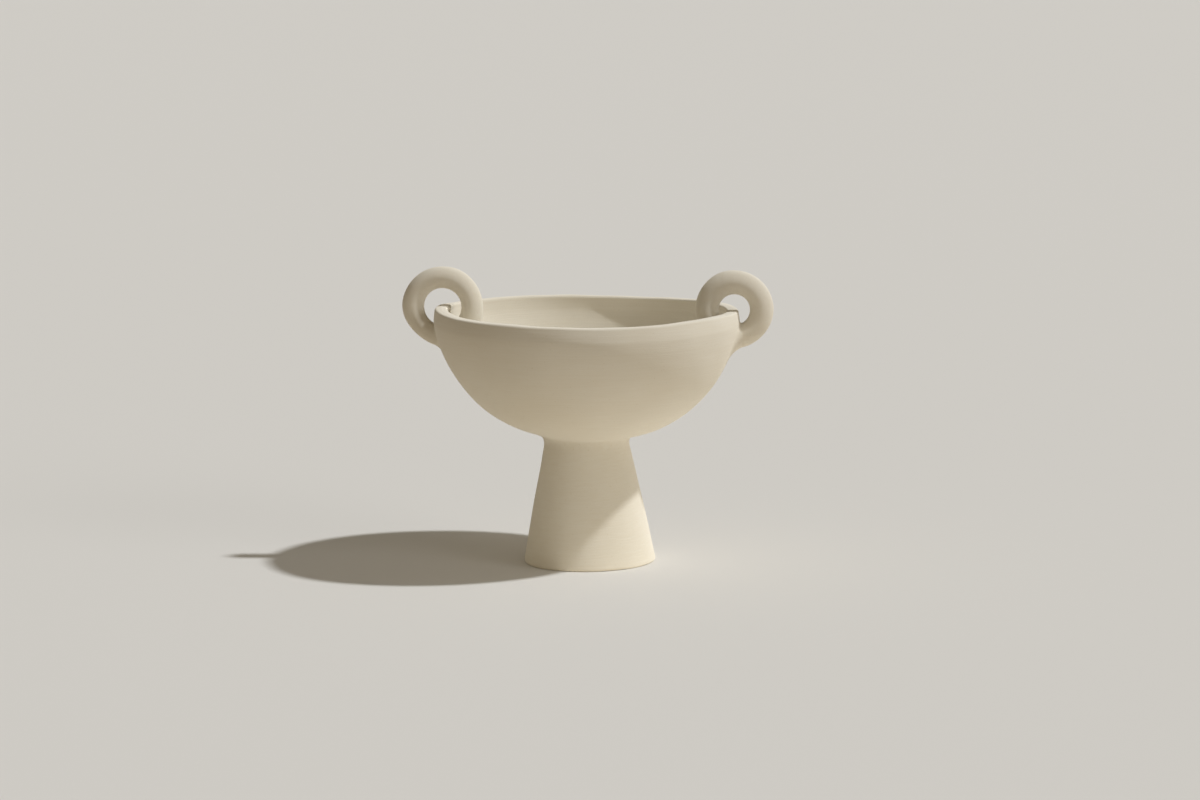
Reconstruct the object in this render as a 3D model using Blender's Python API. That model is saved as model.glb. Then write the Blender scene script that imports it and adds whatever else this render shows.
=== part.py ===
"""Footed fruit bowl with a ring handle astride the rim on each side.

Formed clay pieces: the bowl, the hollow pedestal and two rings bent from a rolled coil. Each joint is
luted with a coil of soft clay that is worked into a hollow fillet. Lengths are in metres, +Z is up, the
foot stands at z = 0 and the bowl's axis is the Z axis. +X points at the right-hand ring.
"""
import math
from dataclasses import dataclass

import bmesh
import bpy
from mathutils import Matrix, Vector

# Gap left at every joint between two pieces
CLEARANCE = 0.0003

# Bowl
WALL_RADIUS = 0.1268
BOWL_DEPTH = 0.0959
RIM_RISE = 0.0117
RIM_LEAN_IN = 0.0009
WALL_THICKNESS = 0.0100
FLOOR_THICKNESS = 0.0110
LIP_RADIUS = 0.0030
FULLNESS_ACROSS = 2.77
FULLNESS_DOWN = 1.405

# Hand-made unevenness of the rim
RIM_TILT = 0.0021
RIM_SADDLE = 0.0012
RIM_WAVE = 0.0004
RIM_WAVE_COUNT = 5
RIM_WAVE_PHASE = math.radians(155)

# Pedestal
PEDESTAL_HEIGHT = 0.1034
FOOT_RADIUS = 0.0551
NECK_RADIUS = 0.0342
FOOT_WALL = 0.0090
FOOT_BULGE = 0.0006
FOOT_EDGE_RADIUS = 0.0025
FOOT_SHIFT = -0.0007
NECK_SHIFT = -0.0020

# Ring handles
LEFT_BEND_RADIUS = 0.0249
LEFT_COIL_RADIUS = 0.0091
LEFT_OUT_FROM_WALL = 0.0001
LEFT_ABOVE_RIM = -0.0012
RIGHT_BEND_RADIUS = 0.0226
RIGHT_COIL_RADIUS = 0.0099
RIGHT_OUT_FROM_WALL = 0.0017
RIGHT_ABOVE_RIM = 0.0010

# Luting coils
NECK_COIL_RADIUS = 0.0042
ROOT_COIL_LENGTH = 0.0085
ROOT_COIL_FLARE = 0.0048
COIL_EDGE = 0.0009

# Fired clay
CLAY_COLOUR = (0.76, 0.70, 0.58)
COIL_COLOUR = (0.74, 0.675, 0.55)
CLAY_ROUGHNESS = 0.85

# Mesh fineness
TURN_STEPS = 64
CURVE_STEPS = 15
CORNER_STEPS = 3
FOOT_STEPS = 6
FILLET_STEPS = 4
RING_STEPS = 40
COIL_SIDES = 16
SMOOTH_ANGLE = math.radians(40)
MERGE_DISTANCE = 1e-6

WIDEST_HEIGHT = PEDESTAL_HEIGHT + BOWL_DEPTH
RIM_HEIGHT = WIDEST_HEIGHT + RIM_RISE
RIM_OUTER_RADIUS = WALL_RADIUS - RIM_LEAN_IN
RIM_INNER_RADIUS = RIM_OUTER_RADIUS - WALL_THICKNESS
INNER_RADIUS = WALL_RADIUS - WALL_THICKNESS
INNER_DEPTH = BOWL_DEPTH - FLOOR_THICKNESS
INSIDE_FLOOR = PEDESTAL_HEIGHT + FLOOR_THICKNESS / 2


def rim_offset(bearing):
    """Height of the uneven rim over its mean, at a bearing about the Z axis."""
    tilt = -RIM_TILT * math.cos(bearing)
    saddle = RIM_SADDLE * math.cos(2 * bearing)
    wave = RIM_WAVE * math.cos(RIM_WAVE_COUNT * bearing + RIM_WAVE_PHASE)
    return tilt + saddle + wave


@dataclass(frozen=True)
class Ring:
    """One handle: the coil that it is bent from and its place on the rim."""

    name: str
    side: int
    bend_radius: float
    coil_radius: float
    out_from_wall: float
    above_rim: float

    def centre(self):
        """Middle of the ring, in the upright plane through both handles."""
        radius = (RIM_OUTER_RADIUS + RIM_INNER_RADIUS) / 2 + self.out_from_wall
        bearing = 0.0 if self.side > 0 else math.pi
        height = RIM_HEIGHT + rim_offset(bearing) + self.above_rim
        return Vector((self.side * radius, 0.0, height))

    def arm(self, angle):
        """Direction from the middle: angle 0 points away from the bowl and a quarter turn points up."""
        return Vector((self.side * math.cos(angle), 0.0, math.sin(angle)))

    def along(self, angle):
        """Point of the coil's centre line."""
        return self.centre() + self.arm(angle) * self.bend_radius

    def crossing(self, radius, depth):
        """Angle at which the lower half of the centre line crosses a wall curve."""
        outside, inside = 0.0, -math.pi
        for _ in range(40):
            angle = (outside + inside) / 2
            point = self.along(angle)
            if abs(point.x) > bowl_radius(point.z, radius, depth):
                outside = angle
            else:
                inside = angle
        return outside


RINGS = (
    Ring("left", -1, LEFT_BEND_RADIUS, LEFT_COIL_RADIUS, LEFT_OUT_FROM_WALL, LEFT_ABOVE_RIM),
    Ring("right", 1, RIGHT_BEND_RADIUS, RIGHT_COIL_RADIUS, RIGHT_OUT_FROM_WALL, RIGHT_ABOVE_RIM),
)


def bowl_radius(height, radius, depth):
    """Radius at a height of a bowl curve, which is upright above its widest circle."""
    down = min(max((WIDEST_HEIGHT - height) / depth, 0.0), 1.0)
    return radius * (1 - down ** FULLNESS_DOWN) ** (1 / FULLNESS_ACROSS)


def underside_height(radius):
    """Height of the bowl's underside at a radius from the axis."""
    rest = 1 - (radius / WALL_RADIUS) ** FULLNESS_ACROSS
    return WIDEST_HEIGHT - BOWL_DEPTH * rest ** (1 / FULLNESS_DOWN)


def foot_side(height):
    """Outer radius of the pedestal at a height: a cone with a slight swelling."""
    share = height / PEDESTAL_HEIGHT
    cone = FOOT_RADIUS + (NECK_RADIUS - FOOT_RADIUS) * share
    return cone + FOOT_BULGE * math.sin(math.pi * min(share, 1.0))


def bowl_curve(radius, depth):
    """Points of a bowl curve from its lowest point, on the axis, up to its widest circle."""
    points = []
    for step in range(CURVE_STEPS + 1):
        lean = math.pi / 2 * step / CURVE_STEPS
        across = math.sin(lean) ** (2 / FULLNESS_ACROSS)
        down = max(math.cos(lean), 0.0) ** (2 / FULLNESS_DOWN)
        points.append(Vector((radius * across, WIDEST_HEIGHT - depth * down)))
    return points


def quarter_turn(centre, radius, start, steps=CORNER_STEPS):
    """Points of a quarter circle that turns anticlockwise from a start angle."""
    points = []
    for step in range(steps + 1):
        angle = start + math.pi / 2 * step / steps
        points.append(centre + Vector((math.cos(angle), math.sin(angle))) * radius)
    return points


def outer_outline():
    """Half section of the bowl's outside, from the axis up to the flat of the rim."""
    corner = Vector((RIM_OUTER_RADIUS - LIP_RADIUS, RIM_HEIGHT - LIP_RADIUS))
    return bowl_curve(WALL_RADIUS, BOWL_DEPTH) + quarter_turn(corner, LIP_RADIUS, 0.0)


def inner_outline():
    """Half section of the bowl's inside, from the flat of the rim down to the axis."""
    corner = Vector((RIM_INNER_RADIUS + LIP_RADIUS, RIM_HEIGHT - LIP_RADIUS))
    curve = bowl_curve(INNER_RADIUS, INNER_DEPTH)
    return quarter_turn(corner, LIP_RADIUS, math.pi / 2) + curve[::-1]


def grown_outline():
    """The wall's half section moved outwards all round by the joint gap, with its ends on the axis."""
    outline = outer_outline() + inner_outline()
    first = outline[0] - Vector((0.0, CLEARANCE))
    last = outline[-1] + Vector((0.0, CLEARANCE))
    moved = [first]
    for before, point, after in zip(outline, outline[1:], outline[2:]):
        run = (after - before).normalized()
        moved.append(point + Vector((run.y, -run.x)) * CLEARANCE)
    moved.append(last)
    return moved


def finished_mesh(name, mesh):
    """Mesh of a closed body with its faces turned outwards, shaded smooth."""
    bmesh.ops.recalc_face_normals(mesh, faces=mesh.faces[:])
    data = bpy.data.meshes.new(name)
    mesh.to_mesh(data)
    mesh.free()
    data.shade_smooth()
    data.set_sharp_from_angle(angle=SMOOTH_ANGLE)
    return data


def turned_mesh(name, outline, closed):
    """Mesh of an outline of (radius, height) points spun about the Z axis."""
    mesh = bmesh.new()
    verts = [mesh.verts.new((point.x, 0.0, point.y)) for point in outline]
    edges = [mesh.edges.new(pair) for pair in zip(verts, verts[1:])]
    if closed:
        edges.append(mesh.edges.new((verts[-1], verts[0])))
    bmesh.ops.spin(
        mesh, geom=verts + edges, cent=(0, 0, 0), axis=(0, 0, 1),
        angle=math.tau, steps=TURN_STEPS, use_merge=True,
    )
    bmesh.ops.remove_doubles(mesh, verts=mesh.verts[:], dist=MERGE_DISTANCE)
    return finished_mesh(name, mesh)


def ring_mesh(name, ring, coil_radius):
    """Whole ring of round section, spun about the ring's middle."""
    mesh = bmesh.new()
    start = Matrix.Translation(ring.along(0.0))
    section = bmesh.ops.create_circle(mesh, segments=COIL_SIDES, radius=coil_radius, matrix=start)
    bmesh.ops.spin(
        mesh, geom=section["verts"] + mesh.edges[:], cent=ring.centre(), axis=(0, 1, 0),
        angle=math.tau, steps=RING_STEPS, use_merge=True,
    )
    bmesh.ops.remove_doubles(mesh, verts=mesh.verts[:], dist=MERGE_DISTANCE)
    return finished_mesh(name, mesh)


def sleeve_mesh(name, ring, stations):
    """Solid sleeve round a ring's centre line, through stations of (angle, radius)."""
    mesh = bmesh.new()
    loops = []
    for angle, radius in stations:
        loop = []
        for side in range(COIL_SIDES):
            turn = math.tau * side / COIL_SIDES
            spoke = ring.arm(angle) * math.cos(turn) + Vector((0, math.sin(turn), 0))
            loop.append(mesh.verts.new(ring.along(angle) + spoke * radius))
        loops.append(loop)
    for near, far in zip(loops, loops[1:]):
        for side in range(COIL_SIDES):
            nxt = (side + 1) % COIL_SIDES
            mesh.faces.new((near[side], near[nxt], far[nxt], far[side]))
    mesh.faces.new(loops[0])
    mesh.faces.new(loops[-1])
    return finished_mesh(name, mesh)


def settle_rim(data):
    """Raise and lower the wall so that the rim tilts and waves, while the underside stays put."""
    for vertex in data.vertices:
        place = vertex.co
        share = max(place.z - PEDESTAL_HEIGHT, 0.0) / (RIM_HEIGHT - PEDESTAL_HEIGHT)
        place.z += rim_offset(math.atan2(place.y, place.x)) * share ** 2


def lean_foot(data):
    """Shift a piece of the pedestal sideways, evenly from the base to the neck."""
    for vertex in data.vertices:
        share = vertex.co.z / PEDESTAL_HEIGHT
        vertex.co.x += FOOT_SHIFT + (NECK_SHIFT - FOOT_SHIFT) * share


def clay(name, colour):
    """Matte fired clay."""
    material = bpy.data.materials.new(name)
    material.use_nodes = True
    shader = material.node_tree.nodes["Principled BSDF"]
    shader.inputs["Base Color"].default_value = (*colour, 1.0)
    shader.inputs["Roughness"].default_value = CLAY_ROUGHNESS
    shader.inputs["Metallic"].default_value = 0.0
    return material


def add_piece(data, colour):
    """Object for a piece, named after its mesh, in its own clay."""
    data.materials.append(clay(data.name + "_clay", colour))
    piece = bpy.data.objects.new(data.name, data)
    bpy.context.scene.collection.objects.link(piece)
    return piece


def add_cutter(data):
    """Hidden object whose volume shapes other pieces."""
    cutter = bpy.data.objects.new(data.name, data)
    cutter.hide_render = True
    cutter.display_type = "WIRE"
    bpy.context.scene.collection.objects.link(cutter)
    return cutter


def shape(piece, cutter, operation="DIFFERENCE"):
    """Cut a piece with a cutter, or keep what lies inside it."""
    modifier = piece.modifiers.new(cutter.name, "BOOLEAN")
    modifier.operation = operation
    modifier.solver = "EXACT"
    modifier.object = cutter


@dataclass(frozen=True)
class Cutters:
    """The bowl's wall, its outside filled solid and its hollow, each clear of the wall by the gap."""

    wall: bpy.types.Object
    outside: bpy.types.Object
    hollow: bpy.types.Object


def make_cutters():
    """Cutters that fit the other pieces to the bowl."""
    outline = grown_outline()
    turn_over = len(outer_outline())
    middle = Vector((0.0, RIM_HEIGHT))
    meshes = (
        turned_mesh("wall_cutter", outline, closed=False),
        turned_mesh("outside_cutter", outline[:turn_over] + [middle], closed=False),
        turned_mesh("hollow_cutter", [middle] + outline[turn_over:], closed=False),
    )
    for data in meshes:
        settle_rim(data)
    return Cutters(*[add_cutter(data) for data in meshes])


def make_bowl():
    """Bowl shell."""
    data = turned_mesh("bowl_shell", outer_outline() + inner_outline(), closed=False)
    settle_rim(data)
    add_piece(data, CLAY_COLOUR)


def make_pedestal(cutters):
    """Hollow pedestal, open below, with its top trimmed to the bowl's underside."""
    outer_edge = foot_side(FOOT_EDGE_RADIUS)
    outer_corner = Vector((outer_edge - FOOT_EDGE_RADIUS, FOOT_EDGE_RADIUS))
    inner_corner = Vector((outer_edge - FOOT_WALL + FOOT_EDGE_RADIUS, FOOT_EDGE_RADIUS))
    rise = (INSIDE_FLOOR - FOOT_EDGE_RADIUS) / FOOT_STEPS
    levels = [FOOT_EDGE_RADIUS + rise * step for step in range(1, FOOT_STEPS + 1)]
    outline = quarter_turn(inner_corner, FOOT_EDGE_RADIUS, math.pi)
    outline += quarter_turn(outer_corner, FOOT_EDGE_RADIUS, 1.5 * math.pi)
    outline += [Vector((foot_side(level), level)) for level in levels]
    outline += [Vector((foot_side(level) - FOOT_WALL, level)) for level in levels[::-1]]
    data = turned_mesh("pedestal_foot", outline, closed=True)
    lean_foot(data)
    shape(add_piece(data, CLAY_COLOUR), cutters.wall)


def make_neck_coil(cutters):
    """Luting coil worked to a hollow fillet between the pedestal and the bowl's underside."""
    high = underside_height(NECK_RADIUS + NECK_COIL_RADIUS) - COIL_EDGE
    low = high - NECK_COIL_RADIUS
    hollow = Vector((foot_side(low) + CLEARANCE + COIL_EDGE + NECK_COIL_RADIUS, low))
    outline = [Vector((hollow.x, INSIDE_FLOOR))]
    outline += quarter_turn(hollow, NECK_COIL_RADIUS, math.pi / 2, FILLET_STEPS)
    for level in (low, PEDESTAL_HEIGHT, INSIDE_FLOOR):
        outline.append(Vector((foot_side(level) + CLEARANCE, level)))
    data = turned_mesh("neck_coil", outline, closed=True)
    lean_foot(data)
    shape(add_piece(data, COIL_COLOUR), cutters.wall)


def make_handle(ring, cutters):
    """Ring astride the wall, with the luting coils round its outer and inner roots."""
    handle = add_piece(ring_mesh(f"{ring.name}_ring_handle", ring, ring.coil_radius), CLAY_COLOUR)
    shape(handle, cutters.wall)
    snug_radius = ring.coil_radius + CLEARANCE
    snug = add_cutter(ring_mesh(f"{ring.name}_ring_cutter", ring, snug_radius))
    outer = ring.crossing(WALL_RADIUS, BOWL_DEPTH)
    inner = ring.crossing(INNER_RADIUS, INNER_DEPTH)
    outer_coil = make_root_coil(ring, "outer", outer, inner)
    shape(outer_coil, cutters.outside)
    shape(outer_coil, snug)
    inner_coil = make_root_coil(ring, "inner", inner, outer)
    shape(inner_coil, cutters.hollow, "INTERSECT")
    shape(inner_coil, snug)


def make_root_coil(ring, place, surface, anchor):
    """Flared sleeve from an anchor inside the wall, through the wall's surface and along the ring."""
    away = math.copysign(ROOT_COIL_LENGTH / ring.bend_radius, surface - anchor)
    edge_radius = ring.coil_radius + CLEARANCE + COIL_EDGE
    stations = [(anchor, edge_radius + ROOT_COIL_FLARE)]
    for step in range(FILLET_STEPS + 1):
        share = step / FILLET_STEPS
        stations.append((surface + away * share, edge_radius + ROOT_COIL_FLARE * (1 - share) ** 2))
    data = sleeve_mesh(f"{ring.name}_{place}_root_coil", ring, stations)
    return add_piece(data, COIL_COLOUR)


def main():
    """Build every piece."""
    for leftover in list(bpy.data.objects):
        bpy.data.objects.remove(leftover, do_unlink=True)
    cutters = make_cutters()
    make_bowl()
    make_pedestal(cutters)
    make_neck_coil(cutters)
    for ring in RINGS:
        make_handle(ring, cutters)


main()
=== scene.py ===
"""Looks of a footed fruit bowl in unglazed cream stoneware, with a ring handle on each side.

Lengths are in metres. +Z is up, the foot stands at z = 0 and +X points at the right-hand ring, as in
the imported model. Each piece stands for one solid of that model, at its sizes, with its joints worked
smooth.
"""

import logging
import math
from collections.abc import Mapping, Sequence
from dataclasses import dataclass
from enum import Enum
from functools import cache

import bpy
import numpy as np
from mathutils import Matrix, Vector


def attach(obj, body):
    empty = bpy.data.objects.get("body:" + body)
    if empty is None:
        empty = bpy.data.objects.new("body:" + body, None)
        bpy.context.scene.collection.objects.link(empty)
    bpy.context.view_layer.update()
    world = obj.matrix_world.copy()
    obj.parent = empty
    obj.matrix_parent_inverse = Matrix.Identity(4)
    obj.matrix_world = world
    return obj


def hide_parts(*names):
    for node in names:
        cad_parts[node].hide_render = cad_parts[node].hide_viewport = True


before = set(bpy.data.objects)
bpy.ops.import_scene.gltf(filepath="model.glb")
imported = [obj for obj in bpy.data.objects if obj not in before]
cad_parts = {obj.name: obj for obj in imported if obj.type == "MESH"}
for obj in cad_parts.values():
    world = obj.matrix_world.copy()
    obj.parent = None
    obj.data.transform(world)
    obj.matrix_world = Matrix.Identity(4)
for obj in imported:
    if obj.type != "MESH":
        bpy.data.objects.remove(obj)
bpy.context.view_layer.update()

LOG = logging.getLogger("fruit_bowl")
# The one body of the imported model.
BODY = "root"
# Size of the small plane from which an outline is drawn.
SEED_SIZE = 0.001
# Points that are closer than this become one.
MERGE_DISTANCE = 1e-6
# Slopes are measured over this reach to both sides.
SLOPE_REACH = 1e-4
# Rounds of the search for where a ring meets the wall.
HALVINGS = 40
# Places of the sockets of a Mix node that mixes colours.
MIX_SHARE, MIX_FIRST, MIX_SECOND, MIX_RESULT = 0, 6, 7, 2

Object = bpy.types.Object
Socket = bpy.types.NodeSocket
Array = np.ndarray
Colour = tuple[float, float, float]
Stops = tuple[tuple[float, float], tuple[float, float]]


def start_fresh() -> None:
    """Go back to object mode with nothing selected."""
    if bpy.context.object and bpy.context.object.mode != "OBJECT":
        bpy.ops.object.mode_set(mode="OBJECT")
    bpy.ops.object.select_all(action="DESELECT")


def name_active(name: str) -> Object:
    """Name the active object and its mesh.

    Args:
        name: Plain name of the piece.

    Returns:
        The active object.
    """
    piece = bpy.context.object
    piece.name = name
    piece.data.name = name
    return piece


def draw_outline(name: str, outline: Array) -> Object:
    """Draw a half section as a chain of edges in the XZ plane, and stay in edit mode.

    Args:
        name: Name of the new object.
        outline: Points of (radius, height) in order.

    Returns:
        The object that holds the chain, at the origin.
    """
    start_fresh()
    radius, height = outline[0]
    bpy.ops.mesh.primitive_plane_add(size=SEED_SIZE, location=(radius, 0.0, height))
    piece = name_active(name)
    bpy.ops.object.transform_apply(location=True, rotation=True, scale=True)
    bpy.ops.object.mode_set(mode="EDIT")
    bpy.ops.mesh.merge(type="CENTER")
    for across, up in np.diff(outline, axis=0):
        bpy.ops.mesh.extrude_region_move(TRANSFORM_OT_translate={"value": (across, 0.0, up)})
    return piece


def turn_outline(steps: int) -> None:
    """Turn the drawn half section once round the Z axis.

    Args:
        steps: Number of steps in the whole turn.
    """
    bpy.ops.mesh.select_all(action="SELECT")
    bpy.ops.mesh.spin(steps=steps, angle=math.tau, center=(0, 0, 0), axis=(0, 0, 1))
    close_mesh()


def close_mesh() -> None:
    """Merge doubles, turn the faces outwards and leave edit mode with smooth shading."""
    bpy.ops.mesh.select_all(action="SELECT")
    bpy.ops.mesh.remove_doubles(threshold=MERGE_DISTANCE)
    bpy.ops.mesh.normals_make_consistent(inside=False)
    bpy.ops.object.mode_set(mode="OBJECT")
    bpy.ops.object.shade_smooth()


def points_of(piece: Object) -> Array:
    """Read the vertices of a piece.

    Args:
        piece: A mesh object.

    Returns:
        Rows of x, y, z.
    """
    flat = np.empty(len(piece.data.vertices) * 3)
    piece.data.vertices.foreach_get("co", flat)
    return flat.reshape(-1, 3)


def normals_of(piece: Object) -> Array:
    """Read the vertex normals of a piece.

    Args:
        piece: A mesh object.

    Returns:
        Rows of x, y, z.
    """
    flat = np.empty(len(piece.data.vertices) * 3, dtype=np.float32)
    piece.data.vertex_normals.foreach_get("vector", flat)
    return flat.reshape(-1, 3).astype(float)


def put_points(piece: Object, points: Array) -> None:
    """Move the vertices of a piece to new places."""
    piece.data.vertices.foreach_set("co", points.ravel())
    piece.data.update()


def even_steps(outline: Array, step: float) -> Array:
    """Lay points at even steps along an outline, which keeps its ends.

    Args:
        outline: Points of (radius, height) in order.
        step: Wanted distance between neighbours.

    Returns:
        The new points.
    """
    run = np.concatenate(([0.0], np.cumsum(np.hypot(*np.diff(outline, axis=0).T))))
    count = max(2, round(run[-1] / step) + 1)
    places = np.linspace(0.0, run[-1], count)
    return np.column_stack([np.interp(places, run, outline[:, axis]) for axis in (0, 1)])


def quarter_turn(centre: tuple[float, float], radius: float, start: float, steps: int) -> Array:
    """Lay points on a quarter circle that turns anticlockwise.

    Args:
        centre: Middle of the circle as (radius, height).
        radius: Radius of the circle.
        start: Angle of the first point.
        steps: Number of steps.

    Returns:
        Points of (radius, height).
    """
    angles = start + np.linspace(0.0, math.pi / 2, steps + 1)
    return np.column_stack((centre[0] + radius * np.cos(angles), centre[1] + radius * np.sin(angles)))


def unit(vectors: Array) -> Array:
    """Rows of vectors at unit length."""
    return vectors / np.linalg.norm(vectors, axis=1, keepdims=True)


def eased(values: Array, start: float, end: float) -> Array:
    """Share from 0 at the start to 1 at the end, level at both."""
    share = np.clip((values - start) / (end - start), 0.0, 1.0)
    return share * share * (3 - 2 * share)


def swell(angle: Array) -> Array:
    """Share from 1 at angle 0 to 0 half a turn away, level at both."""
    return 0.5 + 0.5 * np.cos(angle)


def tinted(colour: Colour, tint: Colour) -> tuple[float, float, float, float]:
    """Colour times a tint, with full alpha."""
    red, green, blue = (part * share for part, share in zip(colour, tint))
    return red, green, blue, 1.0


class Marks(Enum):
    """How a piece was worked, which sets the run of its fine marks."""

    TURNED = "round the axis"
    PRESSED = "in no one direction"


class Side(Enum):
    """Side of the bowl on which a ring stands, as its direction along X."""

    LEFT = -1
    RIGHT = 1


class Face(Enum):
    """Face of the bowl's wall, as its direction away from the axis."""

    OUTER = 1
    INNER = -1


class Number:
    """A number in a material. Arithmetic on it adds Math nodes."""

    def __init__(self, graph: "Graph", socket: Socket) -> None:
        """Wrap a socket of a graph."""
        self.graph = graph
        self.socket = socket

    def __add__(self, other: "Number | float") -> "Number":
        """Sum."""
        return self.graph.maths("ADD", self, other)

    def __radd__(self, other: float) -> "Number":
        """Sum with the number on the left."""
        return self.graph.maths("ADD", other, self)

    def __sub__(self, other: "Number | float") -> "Number":
        """Difference."""
        return self.graph.maths("SUBTRACT", self, other)

    def __rsub__(self, other: float) -> "Number":
        """Difference with the number on the left."""
        return self.graph.maths("SUBTRACT", other, self)

    def __mul__(self, other: "Number | float") -> "Number":
        """Product."""
        return self.graph.maths("MULTIPLY", self, other)

    def __rmul__(self, other: float) -> "Number":
        """Product with the number on the left."""
        return self.graph.maths("MULTIPLY", other, self)


Input = Number | Socket | float | Sequence[float]


class Graph:
    """Node tree of a material or of the surroundings."""

    def __init__(self, owner: bpy.types.Material | bpy.types.World) -> None:
        """Take over the node tree of a new owner.

        Args:
            owner: New material or world.
        """
        owner.use_nodes = True
        self.owner = owner
        self.tree = owner.node_tree

    @property
    def shader(self) -> bpy.types.Node:
        """The material's own Principled shader."""
        return self.tree.nodes["Principled BSDF"]

    def node(
        self, kind: str, settings: Mapping[str, object], inputs: Mapping[str | int, Input],
    ) -> bpy.types.Node:
        """Add a node.

        Args:
            kind: Type of the node.
            settings: Its own properties, and a ramp's stops.
            inputs: Values or links of its sockets, by name or place.

        Returns:
            The new node.
        """
        made = self.tree.nodes.new(kind)
        for key, value in settings.items():
            if key == "stops":
                self._set_stops(made.color_ramp, value)
            else:
                setattr(made, key, value)
        for key, value in inputs.items():
            self.feed(made.inputs[key], value)
        return made

    @staticmethod
    def _set_stops(ramp: bpy.types.ColorRamp, stops: Stops) -> None:
        """Set the two stops of a ramp.

        Args:
            ramp: Ramp of a new node.
            stops: Stops of (place, grey) in order.
        """
        for element, (place, grey) in zip(ramp.elements, stops):
            element.position = place
            element.color = (grey, grey, grey, 1.0)

    def feed(self, socket: Socket, value: Input) -> None:
        """Link a socket, or set its value.

        Args:
            socket: Input of a node.
            value: What it takes.
        """
        if isinstance(value, Number):
            value = value.socket
        if isinstance(value, Socket):
            self.tree.links.new(value, socket)
        else:
            socket.default_value = value

    def maths(self, operation: str, first: Input, second: Input = 0.0) -> Number:
        """Number that a Math node makes of two numbers."""
        made = self.node("ShaderNodeMath", {"operation": operation}, {0: first, 1: second})
        return Number(self, made.outputs[0])

    def vector(self, operation: str, inputs: Mapping[str | int, Input]) -> Socket:
        """Vector that a Vector Math node makes of its inputs."""
        return self.node("ShaderNodeVectorMath", {"operation": operation}, inputs).outputs[0]

    def joined(self, x: Input, y: Input, z: Input) -> Socket:
        """Vector of three numbers."""
        return self.node("ShaderNodeCombineXYZ", {}, {0: x, 1: y, 2: z}).outputs[0]

    def ramp(self, value: Input, stops: Stops) -> Number:
        """Number that follows another through a ramp's stops."""
        made = self.node("ShaderNodeValToRGB", {"stops": stops}, {"Fac": value})
        return Number(self, made.outputs["Color"])

    def mix(self, share: Input, first: Input, second: Input) -> Socket:
        """Colour between two colours."""
        inputs = {MIX_SHARE: share, MIX_FIRST: first, MIX_SECOND: second}
        return self.node("ShaderNodeMix", {"data_type": "RGBA"}, inputs).outputs[MIX_RESULT]

    def bump(self, height: Input, distance: float, below: Socket | None = None) -> Socket:
        """Make a relief, over the relief below it.

        Args:
            height: Height of the relief from 0 to 1.
            distance: Real height that 1 stands for.
            below: Normal of the relief below, if there is one.

        Returns:
            The normal of the relief.
        """
        inputs = {"Height": height, "Distance": distance, "Strength": 1.0}
        if below is not None:
            inputs["Normal"] = below
        return self.node("ShaderNodeBump", {}, inputs).outputs["Normal"]


@dataclass(frozen=True)
class Pattern:
    """A pattern that wanders over the clay, with stops where it is sharpened."""

    scale: float
    detail: float
    roughness: float = 0.5
    stops: Stops | None = None

    def on(self, graph: Graph, place: Input) -> Number:
        """Lay the pattern out.

        Args:
            graph: Graph that takes its nodes.
            place: Pattern space.

        Returns:
            A number from 0 to 1.
        """
        inputs = {
            "Vector": place,
            "Scale": self.scale,
            "Detail": self.detail,
            "Roughness": self.roughness,
        }
        wander = graph.node("ShaderNodeTexNoise", {"noise_dimensions": "3D"}, inputs).outputs["Fac"]
        return graph.ramp(wander, self.stops) if self.stops else Number(graph, wander)


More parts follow.
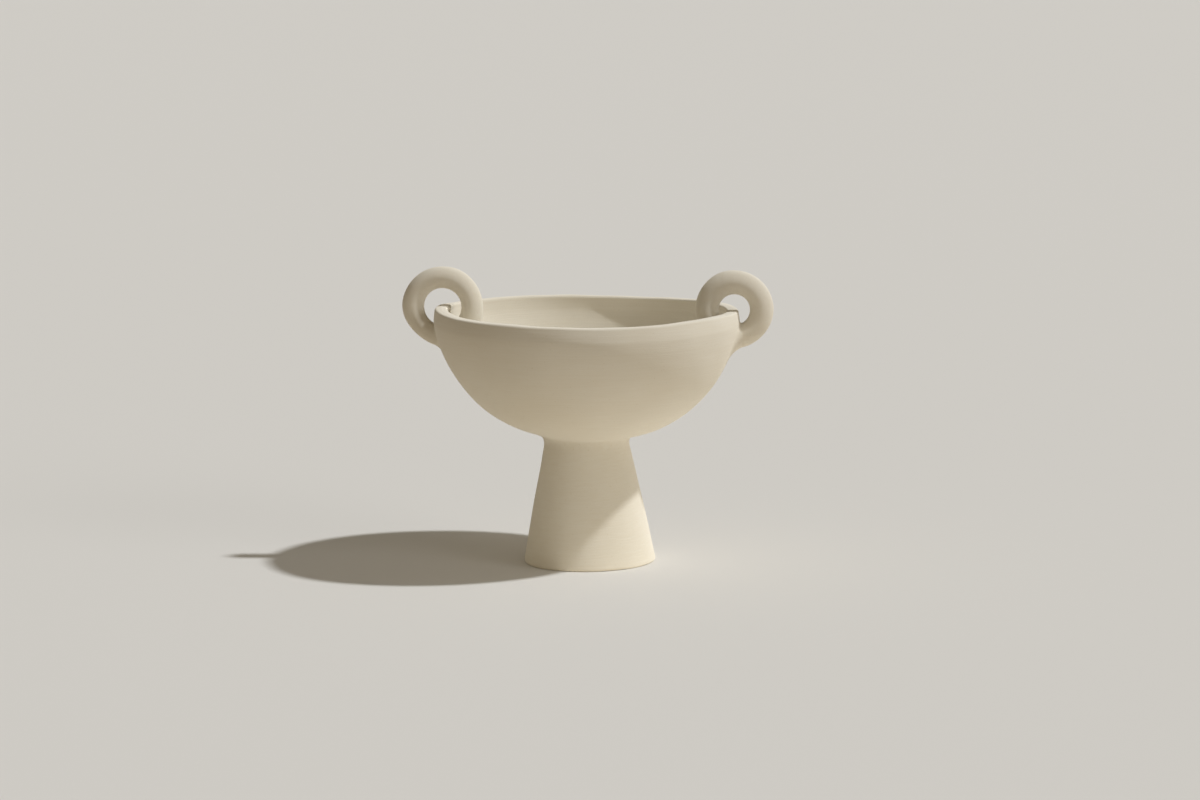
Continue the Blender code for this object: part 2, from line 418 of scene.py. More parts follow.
@dataclass(frozen=True)
class ClayFinish:
    """Unglazed cream clay, matte, with fine tool marks and grain, warmer in patches and streaks."""

    slot: str
    marks: Marks
    mark_depth: float
    clay: Colour = (0.80, 0.765, 0.68)
    pale_tint: Colour = (1.015, 1.02, 1.03)
    warm_tint: Colour = (0.97, 0.955, 0.93)
    fleck_tint: Colour = (0.74, 0.66, 0.54)
    patches: Pattern = Pattern(14.0, 2.0, stops=((0.32, 0.0), (0.70, 1.0)))
    patch_share: float = 0.45
    streak_share: float = 0.55
    flecks: Pattern = Pattern(900.0, 1.0, stops=((0.70, 0.0), (0.78, 1.0)))
    fleck_share: float = 0.35
    pressure: Pattern = Pattern(24.0, 2.0, stops=((0.40, 0.3), (0.62, 1.0)))
    grain: Pattern = Pattern(1500.0, 3.0, 0.6)
    grain_depth: float = 0.00006
    grain_sheen: float = 0.16
    grain_middle: float = 0.5
    turned_marks: Pattern = Pattern(1.0, 4.0, 0.6)
    turned_around: float = 3.5
    turned_across: float = 800.0
    pressed_marks: Pattern = Pattern(260.0, 4.0, 0.55)
    streaks: Stops = ((0.30, 0.0), (0.70, 1.0))
    roughness: float = 0.82
    diffuse_roughness: float = 0.80
    specular: float = 0.30

    @cache
    def material(self) -> bpy.types.Material:
        """Make the material once.

        Returns:
            The material of this finish.
        """
        graph = Graph(bpy.data.materials.new(self.slot))
        place = graph.node("ShaderNodeTexCoord", {}, {}).outputs["Object"]
        marks = self._marks(graph, place)
        grain = self.grain.on(graph, place)
        inputs = graph.shader.inputs
        graph.feed(inputs["Base Color"], self._colour(graph, place, marks))
        matte = self.roughness + self.grain_sheen * (grain - self.grain_middle)
        graph.feed(inputs["Roughness"], matte)
        graph.feed(inputs["Diffuse Roughness"], self.diffuse_roughness)
        graph.feed(inputs["Specular IOR Level"], self.specular)
        relief = graph.bump(marks * self.pressure.on(graph, place), self.mark_depth)
        graph.feed(inputs["Normal"], graph.bump(grain, self.grain_depth, relief))
        return graph.owner

    def _colour(self, graph: Graph, place: Socket, marks: Number) -> Socket:
        """Mix the body colour, warmer in patches and along the marks, with a few iron flecks.

        Args:
            graph: Graph of the material.
            place: Place on the piece.
            marks: Height of the fine marks.

        Returns:
            The colour.
        """
        streaks = graph.ramp(marks, self.streaks)
        warmth = self.patches.on(graph, place) * self.patch_share + streaks * self.streak_share
        body = graph.mix(warmth, tinted(self.clay, self.pale_tint), tinted(self.clay, self.warm_tint))
        flecks = self.flecks.on(graph, place) * self.fleck_share
        return graph.mix(flecks, body, tinted(self.clay, self.fleck_tint))

    def _marks(self, graph: Graph, place: Socket) -> Number:
        """Lay out the fine marks of ribs and sponges, which run round the axis on a turned piece.

        Args:
            graph: Graph of the material.
            place: Place on the piece.

        Returns:
            Height of the marks from 0 to 1.
        """
        if self.marks is Marks.PRESSED:
            return self.pressed_marks.on(graph, place)
        parts = graph.node("ShaderNodeSeparateXYZ", {}, {0: place}).outputs
        x, y, z = (Number(graph, part) for part in parts)
        radius = graph.maths("SQRT", x * x + y * y)
        bearing = graph.vector("NORMALIZE", {0: graph.joined(x, y, 0.0)})
        around = graph.vector("SCALE", {0: bearing, "Scale": self.turned_around})
        across = graph.joined(0.0, 0.0, (radius + z) * self.turned_across)
        return self.turned_marks.on(graph, graph.vector("ADD", {0: around, 1: across}))


@dataclass(frozen=True)
class HandWork:
    """Slight unevenness that hands leave all over the clay, the same field for every piece."""

    depth: float = 0.00016
    narrowest: float = 0.030
    widest: float = 0.100
    wave_count: int = 16
    seed: int = 11

    def lumps(self, points: Array) -> Array:
        """Measure the unevenness at points.

        Args:
            points: Rows of x, y, z.

        Returns:
            One height per point.
        """
        rng = np.random.default_rng(self.seed)
        total = np.zeros(len(points))
        for _ in range(self.wave_count):
            run = rng.normal(size=3)
            run *= math.tau / rng.uniform(self.narrowest, self.widest) / np.linalg.norm(run)
            total += np.sin(points @ run + rng.uniform(0.0, math.tau))
        # The mean square of one wave is a half, so this brings their sum to an even depth.
        return self.depth * total / math.sqrt(self.wave_count / 2)

    def press(self, piece: Object) -> None:
        """Press the unevenness into a piece along its normals."""
        points = points_of(piece)
        put_points(piece, points + normals_of(piece) * self.lumps(points)[:, None])


class ClayPiece:
    """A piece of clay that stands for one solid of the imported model."""

    node: str
    finish: ClayFinish

    def build(self, hands: HandWork) -> Object:
        """Model the piece."""
        raise NotImplementedError

    def dress(self, piece: Object) -> None:
        """Give the modelled piece its finish and let it stand for its solid.

        Args:
            piece: The modelled piece.
        """
        piece.data.materials.clear()
        piece.data.materials.append(self.finish.material())
        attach(piece, BODY)
        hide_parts(self.node)
        LOG.info("%s stands for %s, %d faces", piece.name, self.node, len(piece.data.polygons))


@dataclass(frozen=True)
class FingerRing:
    """One family of soft rings that fingers and ribs leave in a turning wall."""

    pitch: float
    depth: float
    lead: int
    phase: float
    fade_phase: float
    faintest: float = 0.2

    def height(self, bearing: Array, travel: Array) -> Array:
        """Measure the rings.

        Args:
            bearing: Bearings about the Z axis.
            travel: Distances along the wall's section.

        Returns:
            One height per place.
        """
        near = swell(bearing * abs(self.lead) + self.fade_phase)
        depth = self.depth * (self.faintest + (1 - self.faintest) * near)
        return depth * np.sin(math.tau * travel / self.pitch + self.lead * bearing + self.phase)


@dataclass(frozen=True)
class Skin:
    """One face of the bowl's wall: a full curve out to the widest circle, then on up to the lip."""

    radius: float
    depth: float
    lean_in: float
    widest: float
    lip_start: float
    fullness_across: float = 2.77
    fullness_down: float = 1.405
    curve_points: int = 2000
    upper_points: int = 40

    def outline(self, step: float) -> Array:
        """Lay out the half section from the axis up to the start of the lip.

        Args:
            step: Distance between neighbours.

        Returns:
            Points of (radius, height).
        """
        lean = np.linspace(0.0, math.pi / 2, self.curve_points)
        across = np.sin(lean) ** (2 / self.fullness_across)
        down = np.clip(np.cos(lean), 0.0, 1.0) ** (2 / self.fullness_down)
        curve = np.column_stack((self.radius * across, self.widest - self.depth * down))
        heights = np.linspace(self.widest, self.lip_start, self.upper_points)[1:]
        upper = np.column_stack((self.radius_at(heights), heights))
        return even_steps(np.vstack((curve, upper)), step)

    def radius_at(self, height: Array) -> Array:
        """Measure the skin's radius.

        Args:
            height: Heights of the even bowl.

        Returns:
            One radius per height.
        """
        down = np.clip((self.widest - height) / self.depth, 0.0, 1.0)
        curve = self.radius * (1 - down ** self.fullness_down) ** (1 / self.fullness_across)
        rise = np.clip((height - self.widest) / (self.lip_start - self.widest), 0.0, 1.0)
        return curve - self.lean_in * rise ** 2

    def height_at(self, radius: Array) -> Array:
        """Height of the skin's lower part at radii."""
        rest = 1 - (radius / self.radius) ** self.fullness_across
        return self.widest - self.depth * rest ** (1 / self.fullness_down)


@dataclass(frozen=True)
class Bowl(ClayPiece):
    """The deep round bowl with its flat, softly rounded lip."""

    node: str = "bowl_shell"
    finish: ClayFinish = ClayFinish("bowl_clay", Marks.TURNED, mark_depth=0.00022)
    wall_radius: float = 0.1268
    depth: float = 0.0959
    base_height: float = 0.1034
    rim_rise: float = 0.0117
    rim_lean_in: float = 0.0009
    wall_thickness: float = 0.0100
    floor_thickness: float = 0.0110
    outer_lip_rounding: float = 0.0020
    inner_lip_rounding: float = 0.0018
    lip_crown: float = 0.0002
    rim_tilt: float = 0.0021
    rim_saddle: float = 0.0012
    rim_wave: float = 0.0004
    rim_wave_count: int = 5
    rim_wave_phase: float = math.radians(155)
    lift: float = 0.0023
    lift_bearing: float = math.radians(-173)
    lift_start: float = 0.035
    lift_full: float = 0.050
    lift_fade: float = 0.060
    lift_end: float = 0.120
    section_step: float = 0.0009
    lip_steps: int = 8
    lip_flat_steps: int = 8
    turn_steps: int = 192
    settling_rounds: int = 2
    calm_radius: float = 0.018
    finger_rings: tuple[FingerRing, ...] = (
        FingerRing(pitch=0.0053, depth=0.000008, lead=1, phase=0.4, fade_phase=1.2),
        FingerRing(pitch=0.0091, depth=0.000012, lead=-1, phase=1.9, fade_phase=5.7),
        FingerRing(pitch=0.0173, depth=0.000022, lead=2, phase=2.7, fade_phase=8.1),
    )

    @property
    def rim_height(self) -> float:
        """Mean height of the rim."""
        return self.base_height + self.depth + self.rim_rise

    @property
    def rim_middle(self) -> float:
        """Radius of the middle of the rim's flat."""
        return self.wall_radius - self.rim_lean_in - self.wall_thickness / 2

    def skin(self, face: Face) -> Skin:
        """Take one face of the wall, up to its lip's rounding.

        Args:
            face: Outer or inner face.

        Returns:
            The face of the even bowl.
        """
        outside = face is Face.OUTER
        rounding = self.outer_lip_rounding if outside else self.inner_lip_rounding
        return Skin(
            radius=self.wall_radius - (0.0 if outside else self.wall_thickness),
            depth=self.depth - (0.0 if outside else self.floor_thickness),
            lean_in=self.rim_lean_in,
            widest=self.base_height + self.depth,
            lip_start=self.rim_height - rounding,
        )

    def rim_offset(self, bearing: Array) -> Array:
        """Height of the uneven rim over its mean, at bearings about the Z axis."""
        wave = self.rim_wave * np.cos(self.rim_wave_count * bearing + self.rim_wave_phase)
        return self.rim_saddle * np.cos(2 * bearing) - self.rim_tilt * np.cos(bearing) + wave

    def _settling(self, bearing: Array, height: Array) -> Array:
        """How far the wall settles or rises at bearings and heights of the even bowl."""
        share = np.clip(height - self.base_height, 0.0, None) / (self.rim_height - self.base_height)
        return self.rim_offset(bearing) * share ** 2

    def _lifted(self, bearing: Array, radius: Array) -> Array:
        """Measure the underside's rise beside the neck, where the wall was pressed up on one side.

        Args:
            bearing: Bearings about the Z axis.
            radius: Distances from the axis.

        Returns:
            One rise per place.
        """
        lobe = swell(bearing - self.lift_bearing) ** 2
        rising = eased(radius, self.lift_start, self.lift_full)
        return self.lift * lobe * rising * (1 - eased(radius, self.lift_fade, self.lift_end))

    def underside(self, x: Array, y: Array) -> Array:
        """Height of the bowl's underside over points of the floor."""
        radius = np.hypot(x, y)
        return self.skin(Face.OUTER).height_at(radius) + self._lifted(np.arctan2(y, x), radius)

    def skin_radius(self, face: Face, bearing: Array, height: Array) -> Array:
        """Measure the radius of a face of the settled wall.

        Args:
            face: Outer or inner face.
            bearing: Bearings about the Z axis.
            height: Heights of the settled wall.

        Returns:
            One radius per place.
        """
        even = height
        for _ in range(self.settling_rounds):
            even = height - self._settling(bearing, even)
        return self.skin(face).radius_at(even)

    def outline(self) -> Array:
        """Lay out the wall's half section: up the outside, over the lip and back down the inside.

        Returns:
            Points of (radius, height).
        """
        outer, inner, top = self.outer_lip_rounding, self.inner_lip_rounding, self.rim_height
        edge = self.wall_radius - self.rim_lean_in
        outer_turn = quarter_turn((edge - outer, top - outer), outer, 0.0, self.lip_steps)
        inner_middle = (edge - self.wall_thickness + inner, top - inner)
        inner_turn = quarter_turn(inner_middle, inner, math.pi / 2, self.lip_steps)
        share = np.linspace(0.0, 1.0, self.lip_flat_steps + 1)[1:-1]
        across = outer_turn[-1, 0] + (inner_turn[0, 0] - outer_turn[-1, 0]) * share
        flat = np.column_stack((across, top + self.lip_crown * np.sin(math.pi * share) ** 2))
        outside = self.skin(Face.OUTER).outline(self.section_step)
        inside = self.skin(Face.INNER).outline(self.section_step)[::-1]
        return np.vstack((outside, outer_turn[1:], flat, inner_turn[:-1], inside))

    def build(self, hands: HandWork) -> Object:
        """Turn the wall, let it settle and leave finger rings and unevenness in it.

        Args:
            hands: Unevenness to press into the wall.

        Returns:
            The finished bowl.
        """
        piece = draw_outline("thrown_bowl", self.outline())
        turn_outline(self.turn_steps)
        points = points_of(piece)
        bearing = np.arctan2(points[:, 1], points[:, 0])
        radius = np.hypot(points[:, 0], points[:, 1])
        travel = radius + points[:, 2]
        rings = sum(ring.height(bearing, travel) for ring in self.finger_rings)
        rings *= np.clip(radius / self.calm_radius, 0.0, 1.0) ** 2
        points += normals_of(piece) * rings[:, None]
        points[:, 2] += self._settling(bearing, points[:, 2]) + self._lifted(bearing, radius)
        put_points(piece, points)
        hands.press(piece)
        return piece


@dataclass(frozen=True)
class Foot(ClayPiece):
    """The hollow tapered pedestal, open below, whose top meets the bowl's underside."""

    bowl: Bowl
    node: str = "pedestal_foot"
    finish: ClayFinish = ClayFinish("foot_clay", Marks.TURNED, mark_depth=0.00017)
    foot_radius: float = 0.0551
    neck_radius: float = 0.0342
    wall: float = 0.0090
    bulge: float = 0.0006
    edge_rounding: float = 0.0021
    foot_shift: float = -0.0007
    neck_shift: float = -0.0020
    sunk_in_bowl: float = 0.0020
    section_step: float = 0.0012
    wall_points: int = 60
    edge_steps: int = 8
    turn_steps: int = 160

    def side(self, height: Array) -> Array:
        """Measure the outer radius: a cone with a slight swelling.

        Args:
            height: Heights above the floor.

        Returns:
            One radius per height.
        """
        share = height / self.bowl.base_height
        cone = self.foot_radius + (self.neck_radius - self.foot_radius) * share
        return cone + self.bulge * np.sin(math.pi * np.clip(share, 0.0, 1.0))

    def shift(self, height: Array) -> Array:
        """Sideways lean of the axis at heights."""
        return self.foot_shift + (self.neck_shift - self.foot_shift) * height / self.bowl.base_height

    def surface(self, bearing: Array, height: Array) -> Array:
        """Lay points on the outer face.

        Args:
            bearing: Bearings about the leaning axis.
            height: Heights above the floor.

        Returns:
            Rows of x, y, z.
        """
        side = self.side(height)
        x = self.shift(height) + side * np.cos(bearing)
        return np.column_stack((x, side * np.sin(bearing), height))

    def outline(self) -> Array:
        """Lay out the closed half section: down the inside, round the edge and up the outside.

        Returns:
            Points of (radius, height), which end where they start.
        """
        rounding = self.edge_rounding
        top = self.bowl.skin(Face.OUTER).height_at(self.neck_radius) + self.sunk_in_bowl
        edge = float(self.side(np.array(rounding)))
        heights = np.linspace(rounding, top, self.wall_points)
        outside = np.column_stack((self.side(heights), heights))
        inside = np.column_stack((self.side(heights) - self.wall, heights))
        inner_middle = (edge - self.wall + rounding, rounding)
        under = np.vstack((
            quarter_turn(inner_middle, rounding, math.pi, self.edge_steps)[1:],
            quarter_turn((edge - rounding, rounding), rounding, 1.5 * math.pi, self.edge_steps)[:-1],
        ))
        walls = [even_steps(wall, self.section_step) for wall in (inside[::-1], outside)]
        return np.vstack((walls[0], under, walls[1], walls[0][:1]))

    def build(self, hands: HandWork) -> Object:
        """Turn the pedestal, let it lean and rub it flat where it stands.

        Args:
            hands: Unevenness to press into the clay.

        Returns:
            The finished pedestal.
        """
        piece = draw_outline("tapered_foot", self.outline())
        turn_outline(self.turn_steps)
        points = points_of(piece)
        points[:, 0] += self.shift(points[:, 2])
        put_points(piece, points)
        hands.press(piece)
        points = points_of(piece)
        points[:, 2] = np.maximum(points[:, 2], 0.0)
        put_points(piece, points)
        return piece


@dataclass(frozen=True)
class Ring(ClayPiece):
    """A handle bent from a rolled coil, astride the wall."""

    bowl: Bowl
    side: Side
    bend_radius: float
    coil_radius: float
    out_from_wall: float
    above_rim: float
    drawn_in: float
    finish: ClayFinish = ClayFinish("ring_clay", Marks.PRESSED, mark_depth=0.00013)
    drawn_in_angle: float = math.radians(-50)
    drawn_in_reach: float = math.radians(62)
    stub: float = 0.0032
    ring_steps: int = 180
    coil_sides: int = 72

    @property
    def name(self) -> str:
        """Side of the ring in plain words."""
        return self.side.name.lower()

    @property
    def node(self) -> str:
        """Solid that the ring stands for."""
        return f"{self.name}_ring_handle"

    @property
    def middle(self) -> Array:
        """Middle of the ring, in the upright plane through both handles.

        Returns:
            The point as x, y, z.
        """
        bearing = np.array(0.0 if self.side is Side.RIGHT else math.pi)
        height = self.bowl.rim_height + float(self.bowl.rim_offset(bearing)) + self.above_rim
        return np.array((self.side.value * (self.bowl.rim_middle + self.out_from_wall), 0.0, height))

    def arm(self, angle: Array) -> Array:
        """Directions from the middle: angle 0 points away from the bowl, a quarter turn points up."""
        angle = np.atleast_1d(angle)
        return np.column_stack((self.side.value * np.cos(angle), np.zeros_like(angle), np.sin(angle)))

    def spoke(self, angle: Array, turn: Array) -> Array:
        """Find the normals of the coil's face.

        Args:
            angle: Angles round the ring.
            turn: Turns round the coil.

        Returns:
            Rows of x, y, z.
        """
        turn = np.atleast_1d(turn)
        across = np.column_stack((np.zeros_like(turn), np.sin(turn), np.zeros_like(turn)))
        return self.arm(angle) * np.cos(turn)[:, None] + across

    def coil(self, angle: Array, turn: Array) -> Array:
        """Measure the coil's radius: its outer side is drawn in a little on its way to the wall.

        Args:
            angle: Angles round the ring.
            turn: Turns round the coil.

        Returns:
            One radius per place.
        """
        off = np.clip((angle - self.drawn_in_angle) / self.drawn_in_reach, -1.0, 1.0)
        drawn = self.drawn_in * np.cos(off * math.pi / 2) ** 2
        return self.coil_radius - drawn * swell(turn)

    def surface(self, angle: Array, turn: Array) -> Array:
        """Points of the coil's face."""
        out = self.spoke(angle, turn) * self.coil(angle, turn)[:, None]
        return self.middle + self.arm(angle) * self.bend_radius + out

    def meets(self, face: Face, turn: Array) -> Array:
        """Find where the coil's face passes through a face of the wall, below the ring's middle.

        Args:
            face: Inner or outer face of the wall.
            turn: Turns round the coil.

        Returns:
            One angle round the ring per turn.
        """
        beyond, within = np.zeros_like(turn), np.full_like(turn, -math.pi)
        for _ in range(HALVINGS):
            angle = (beyond + within) / 2
            x, y, z = self.surface(angle, turn).T
            outside = np.hypot(x, y) > self.bowl.skin_radius(face, np.arctan2(y, x), z)
            beyond, within = np.where(outside, angle, beyond), np.where(outside, within, angle)
        return beyond

    def build(self, hands: HandWork) -> Object:
        """Bend the coil round and bury its two ends in the wall.

        Args:
            hands: Unevenness to press into the clay.

        Returns:
            The finished ring.
        """
        centre_line = np.array([math.pi / 2])
        reach = self.stub / self.bend_radius
        start = float(self.meets(Face.OUTER, centre_line)[0]) - reach
        end = float(self.meets(Face.INNER, centre_line)[0]) + reach + math.tau
        start_fresh()
        place = self.middle + self.arm(np.array([start]))[0] * self.bend_radius
        bpy.ops.mesh.primitive_circle_add(
            vertices=self.coil_sides, radius=self.coil_radius, fill_type="NGON", location=place,
            rotation=(0.0, -self.side.value * start, 0.0),
        )
        piece = name_active(f"{self.name}_ring")
        bpy.ops.object.transform_apply(location=True, rotation=True, scale=True)
        bpy.ops.object.mode_set(mode="EDIT")
        bpy.ops.mesh.select_all(action="SELECT")
        turned = self.side.value * (start - end)
        bpy.ops.mesh.spin(steps=self.ring_steps, angle=turned, center=self.middle, axis=(0, 1, 0))
        close_mesh()
        self._draw_in(piece)
        hands.press(piece)
        return piece

    def _draw_in(self, piece: Object) -> None:
        """Draw the even coil in where its thickness changes.

        Args:
            piece: The bent coil.
        """
        points = points_of(piece)
        x, y, z = (points - self.middle).T
        angle, out = np.arctan2(z, self.side.value * x), np.hypot(x, z) - self.bend_radius
        turn, reach = np.arctan2(y, out), np.hypot(y, out)
        less = reach * (1 - self.coil(angle, turn) / self.coil_radius)
        put_points(piece, points - self.spoke(angle, turn) * less[:, None])


@dataclass(frozen=True)
class JointLoops:
    """Loops of a luted coil on the joined piece, in the corner and on the bowl, with normals."""

    on_piece: Array
    corner: Array
    on_bowl: Array
    piece_normals: Array
    bowl_normals: Array


@dataclass(frozen=True)
class RootJoint:
    """The joint of a ring's root with one face of the wall."""

    ring: Ring
    face: Face
    along_ring: float = 0.0125
    along_wall: float = 0.0140
    in_hole: float = 0.0034
    tapering: float = 1.3
    sides: int = 128

    def legs(self, turn: Array, longest: float) -> Array:
        """How far the clay is drawn out from the corner: most below the ring, least in its hole."""
        return self.in_hole + (longest - self.in_hole) * swell(turn) ** self.tapering

    def loops(self) -> JointLoops:
        """Lay the joint's loops along the ring and along the wall.

        Returns:
            The loops.
        """
        ring, away_from_axis = self.ring, self.face.value
        turn = np.linspace(0.0, math.tau, self.sides, endpoint=False)
        meeting = ring.meets(self.face, turn)
        bend = ring.bend_radius + ring.coil_radius * np.cos(turn)
        along = meeting + away_from_axis * self.legs(turn, self.along_ring) / bend
        corner = ring.surface(meeting, turn)
        normals = self.wall_normals(corner)
        drawn = ring.spoke(meeting, turn)
        drawn = unit(drawn - normals * np.sum(drawn * normals, axis=1, keepdims=True))
        on_bowl = self.on_wall(corner + drawn * self.legs(turn, self.along_wall)[:, None])
        return JointLoops(
            on_piece=ring.surface(along, turn),
            corner=corner,
            on_bowl=on_bowl,
            piece_normals=ring.spoke(along, turn),
            bowl_normals=self.wall_normals(on_bowl),
        )

    def on_wall(self, points: Array) -> Array:
        """Move points level, towards or away from the axis, until they lie on the wall's face.

        Args:
            points: Rows of x, y, z near the face.

        Returns:
            The points on the face.
        """
        bearing = np.arctan2(points[:, 1], points[:, 0])
        radius = self.ring.bowl.skin_radius(self.face, bearing, points[:, 2])
        return np.column_stack((radius * np.cos(bearing), radius * np.sin(bearing), points[:, 2]))

    def wall_normals(self, points: Array) -> Array:
        """Find the normals of the wall's face, out of the clay.

        Args:
            points: Rows of x, y, z on the face.

        Returns:
            Rows of x, y, z.
        """
        bearing = np.arctan2(points[:, 1], points[:, 0])
        radius_at = self.ring.bowl.skin_radius
        above = radius_at(self.face, bearing, points[:, 2] + SLOPE_REACH)
        below = radius_at(self.face, bearing, points[:, 2] - SLOPE_REACH)
        slope = (below - above) / (2 * SLOPE_REACH)
        return self.face.value * unit(np.column_stack((np.cos(bearing), np.sin(bearing), slope)))


@dataclass(frozen=True)
class NeckJoint:
    """The joint of the pedestal's neck with the bowl's underside."""

    foot: Foot
    along_foot: float = 0.0092
    along_bowl: float = 0.0072
    sides: int = 160
    fitting_rounds: int = 8

    def loops(self) -> JointLoops:
        """Lay the joint's loops round the neck and under the bowl.

        Returns:
            The loops.
        """
        foot, bowl = self.foot, self.foot.bowl
        bearing = np.linspace(0.0, math.tau, self.sides, endpoint=False)
        height = np.full(self.sides, bowl.base_height)
        for _ in range(self.fitting_rounds):
            x, y, _ = foot.surface(bearing, height).T
            height = bowl.underside(x, y)
        corner = foot.surface(bearing, height)
        on_piece = foot.surface(bearing, height - self.along_foot)
        slope = (foot.side(height - self.along_foot) - foot.side(height)) / self.along_foot
        piece_normals = unit(np.column_stack((np.cos(bearing), np.sin(bearing), slope)))
        x, y = (corner[:, :2] + unit(corner[:, :2]) * self.along_bowl).T
        on_bowl = np.column_stack((x, y, bowl.underside(x, y)))
        return JointLoops(on_piece, corner, on_bowl, piece_normals, self.underside_normals(x, y))

    def underside_normals(self, x: Array, y: Array) -> Array:
        """Find the normals of the bowl's underside, which point down.

        Args:
            x: Places of the floor along X.
            y: Places of the floor along Y.

        Returns:
            Rows of x, y, z.
        """
        height, reach = self.foot.bowl.underside, SLOPE_REACH
        across = (height(x + reach, y) - height(x - reach, y)) / (2 * reach)
        along = (height(x, y + reach) - height(x, y - reach)) / (2 * reach)
        return unit(np.column_stack((across, along, -np.ones_like(x))))


@dataclass(frozen=True)
class LutedCoil(ClayPiece):
    """Soft clay that is worked into a joint until it makes a hollow fillet with feathered edges."""

    name: str
    node: str
    joint: RootJoint | NeckJoint
    finish: ClayFinish = ClayFinish("joint_clay", Marks.PRESSED, mark_depth=0.00013)
    sunk: float = 0.00006
    buried: float = 0.0012
    hollow_steps: int = 14

    def build(self, hands: HandWork) -> Object:
        """Work a coil into the joint.

        Args:
            hands: Unevenness to press into the clay.

        Returns:
            The finished coil.
        """
        loops = self.joint.loops()
        section = self._hollow(loops, hands)
        section.append(loops.on_bowl - loops.bowl_normals * self.buried)
        section.append(loops.corner - (loops.bowl_normals + loops.piece_normals) * self.buried)
        section.append(loops.on_piece - loops.piece_normals * self.buried)
        start_fresh()
        bpy.ops.mesh.primitive_torus_add(
            major_segments=len(loops.corner), minor_segments=len(section),
        )
        piece = name_active(self.name)
        put_points(piece, np.stack(section, axis=1).reshape(-1, 3))
        bpy.ops.object.mode_set(mode="EDIT")
        close_mesh()
        return piece

    def _hollow(self, loops: JointLoops, hands: HandWork) -> list[Array]:
        """Lay out the hollow face, with its edges just under the faces that it runs out on.

        Args:
            loops: Where the coil lies.
            hands: Unevenness of the clay, the same as on the neighbours.

        Returns:
            Loops from the joined piece to the bowl.
        """
        start = loops.on_piece - loops.piece_normals * self.sunk
        end = loops.on_bowl - loops.bowl_normals * self.sunk
        hollow = []
        for share in np.linspace(0.0, 1.0, self.hollow_steps + 1):
            rest = 1 - share
            points = rest ** 2 * start + 2 * share * rest * loops.corner + share ** 2 * end
            out = unit(rest * loops.piece_normals + share * loops.bowl_normals)
            hollow.append(points + out * hands.lumps(points)[:, None])
        return hollow


@dataclass(frozen=True)
class View:
    """Where the camera stands and how it is held."""

    place: tuple[float, float, float] = (0.3256, -2.7292, 0.5156)
    heading: float = math.radians(6.6)
    look_down: float = math.radians(7.88)
    roll: float = math.radians(-0.839)
    lens: float = 100.0
    sensor: float = 36.0

    def build(self) -> None:
        """Set up the scene's camera."""
        start_fresh()
        bpy.ops.object.camera_add(location=self.place)
        camera = bpy.context.object
        heading = Matrix.Rotation(self.heading, 4, "Z")
        turn = heading @ Matrix.Rotation(math.pi / 2 - self.look_down, 4, "X")
        roll = Matrix.Rotation(self.roll, 4, "Z")
        camera.matrix_world = Matrix.Translation(self.place) @ turn @ roll
        camera.data.lens = self.lens
        camera.data.sensor_width = self.sensor
        bpy.context.scene.camera = camera


@dataclass(frozen=True)
class Lamp:
    """A lamp far away, which lights the floor evenly. A wider spread gives softer shadows."""

    name: str
    towards: tuple[float, float, float]
    spread: float
    strength: float
    colour: Colour

    def build(self) -> None:
        """Hang the lamp."""
        start_fresh()
        bpy.ops.object.light_add(type="SUN", location=self.towards)
        lamp = bpy.context.object
        lamp.name = self.name
        lamp.rotation_euler = (-Vector(self.towards)).to_track_quat("-Z", "Y").to_euler()
        lamp.data.angle = self.spread
        lamp.data.energy = self.strength
        lamp.data.color = self.colour


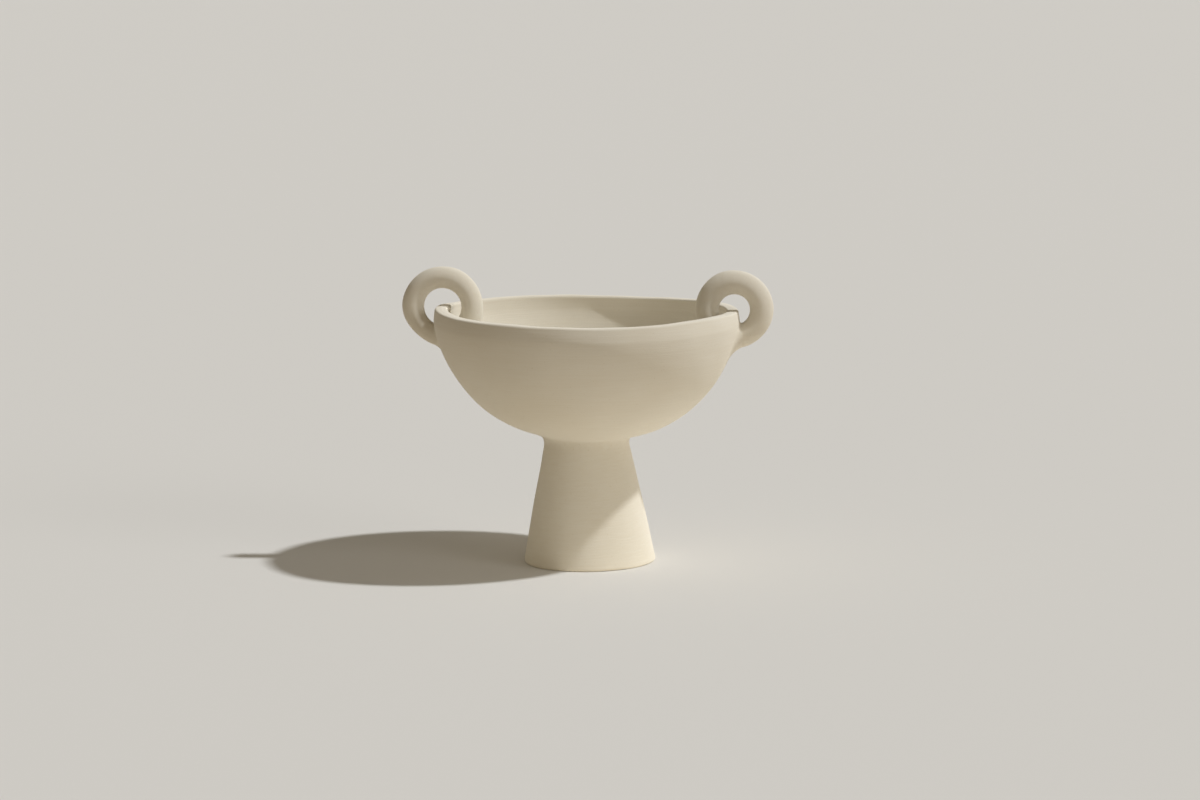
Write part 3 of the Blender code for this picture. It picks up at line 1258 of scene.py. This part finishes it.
@dataclass(frozen=True)
class Studio:
    """Pale floor, a key lamp above, a soft lamp at the side and an even fill from all around."""

    lamps: tuple[Lamp, ...] = (
        Lamp(
            "key_lamp", towards=(0.572, -0.030, 0.820), spread=math.radians(3),
            strength=2.42, colour=(0.97, 0.985, 1.0),
        ),
        Lamp(
            "side_lamp", towards=(0.82, -0.48, 0.24), spread=math.radians(30),
            strength=0.55, colour=(1.0, 0.985, 0.96),
        ),
    )
    floor_radius: float = 60.0
    floor_sides: int = 96
    floor_colour: Colour = (0.67, 0.662, 0.645)
    near_bounce: Colour = (0.97, 0.91, 0.79)
    far_bounce: Colour = (0.26, 0.20, 0.14)
    near_radius: float = 0.30
    far_radius: float = 0.60
    floor_roughness: float = 0.9
    fill_colour: Colour = (1.0, 0.87, 0.66)
    fill_strength: float = 0.24
    backdrop_colour: Colour = (0.627, 0.604, 0.562)
    backdrop_strength: float = 1.0

    def build(self) -> None:
        """Lay the floor, hang the lamps and set the surroundings."""
        start_fresh()
        bpy.ops.mesh.primitive_circle_add(
            vertices=self.floor_sides, radius=self.floor_radius, fill_type="NGON",
        )
        floor = name_active("pale_floor")
        graph = Graph(bpy.data.materials.new("pale_floor"))
        graph.feed(graph.shader.inputs["Base Color"], self._floor_colour(graph))
        graph.feed(graph.shader.inputs["Roughness"], self.floor_roughness)
        floor.data.materials.append(graph.owner)
        for lamp in self.lamps:
            lamp.build()
        bpy.context.scene.world = self._surroundings()
        bpy.context.scene.view_settings.view_transform = "Standard"

    def _floor_colour(self, graph: Graph) -> Socket:
        """Mix the floor's colour: even where it is looked at, while far parts send little light back.

        Args:
            graph: Graph of the floor's material.

        Returns:
            The colour.
        """
        place = graph.node("ShaderNodeTexCoord", {}, {}).outputs["Object"]
        run = graph.node("ShaderNodeVectorMath", {"operation": "LENGTH"}, {0: place}).outputs["Value"]
        limits = {"Value": run, "From Min": self.near_radius, "From Max": self.far_radius}
        far = graph.node("ShaderNodeMapRange", {}, limits).outputs[0]
        bounce = graph.mix(far, (*self.near_bounce, 1.0), (*self.far_bounce, 1.0))
        return graph.mix(self._shown(graph), bounce, (*self.floor_colour, 1.0))

    @staticmethod
    def _shown(graph: Graph) -> Number:
        """Tell what is looked at, straight or by reflection, from what only sends light on.

        Args:
            graph: Graph of the floor's material or of the surroundings.

        Returns:
            1 for what is looked at, and otherwise 0.
        """
        path = graph.node("ShaderNodeLightPath", {}, {}).outputs
        seen = [Number(graph, path[f"Is {ray} Ray"]) for ray in ("Camera", "Glossy", "Transmission")]
        return graph.maths("MAXIMUM", graph.maths("MAXIMUM", seen[0], seen[1]), seen[2])

    def _surroundings(self) -> bpy.types.World:
        """Make an even fill light, with a pale backdrop where the camera looks past the floor.

        Returns:
            The scene's world.
        """
        graph = Graph(bpy.data.worlds.new("plain_surroundings"))
        fill = graph.tree.nodes["Background"]
        graph.feed(fill.inputs["Color"], (*self.fill_colour, 1.0))
        graph.feed(fill.inputs["Strength"], self.fill_strength)
        pale = {"Color": (*self.backdrop_colour, 1.0), "Strength": self.backdrop_strength}
        backdrop = graph.node("ShaderNodeBackground", {}, pale)
        shaders = {0: self._shown(graph), 1: fill.outputs[0], 2: backdrop.outputs[0]}
        both = graph.node("ShaderNodeMixShader", {}, shaders)
        graph.feed(graph.tree.nodes["World Output"].inputs["Surface"], both.outputs[0])
        return graph.owner


def pot_pieces() -> list[ClayPiece]:
    """List the pieces of the pot.

    Returns:
        The bowl, its foot and neck joint, then each ring with its two root joints.
    """
    bowl = Bowl()
    foot = Foot(bowl)
    left = Ring(
        bowl, Side.LEFT, bend_radius=0.0249, coil_radius=0.0091,
        out_from_wall=0.0001, above_rim=-0.0012, drawn_in=0.0027,
    )
    right = Ring(
        bowl, Side.RIGHT, bend_radius=0.0226, coil_radius=0.0099,
        out_from_wall=0.0017, above_rim=0.0010, drawn_in=0.0010,
    )
    pieces: list[ClayPiece] = [bowl, foot, LutedCoil("neck_fillet", "neck_coil", NeckJoint(foot))]
    for ring in (left, right):
        pieces.append(ring)
        for face in Face:
            root = f"{ring.name}_{face.name.lower()}_root"
            pieces.append(LutedCoil(root, f"{root}_coil", RootJoint(ring, face)))
    return pieces


def write_sizes() -> None:
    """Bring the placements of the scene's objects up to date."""
    bpy.context.view_layer.update()


def main() -> None:
    """Build the camera, the studio and every piece, in order."""
    logging.basicConfig(level=logging.INFO, format="%(name)s: %(message)s")
    View().build()
    Studio().build()
    hands = HandWork()
    pieces = pot_pieces()
    for piece in pieces:
        piece.dress(piece.build(hands))
    for node in sorted(set(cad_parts) - {piece.node for piece in pieces}):
        LOG.warning("no piece stands for %s", node)
    write_sizes()


if __name__ == "__main__":
    main()
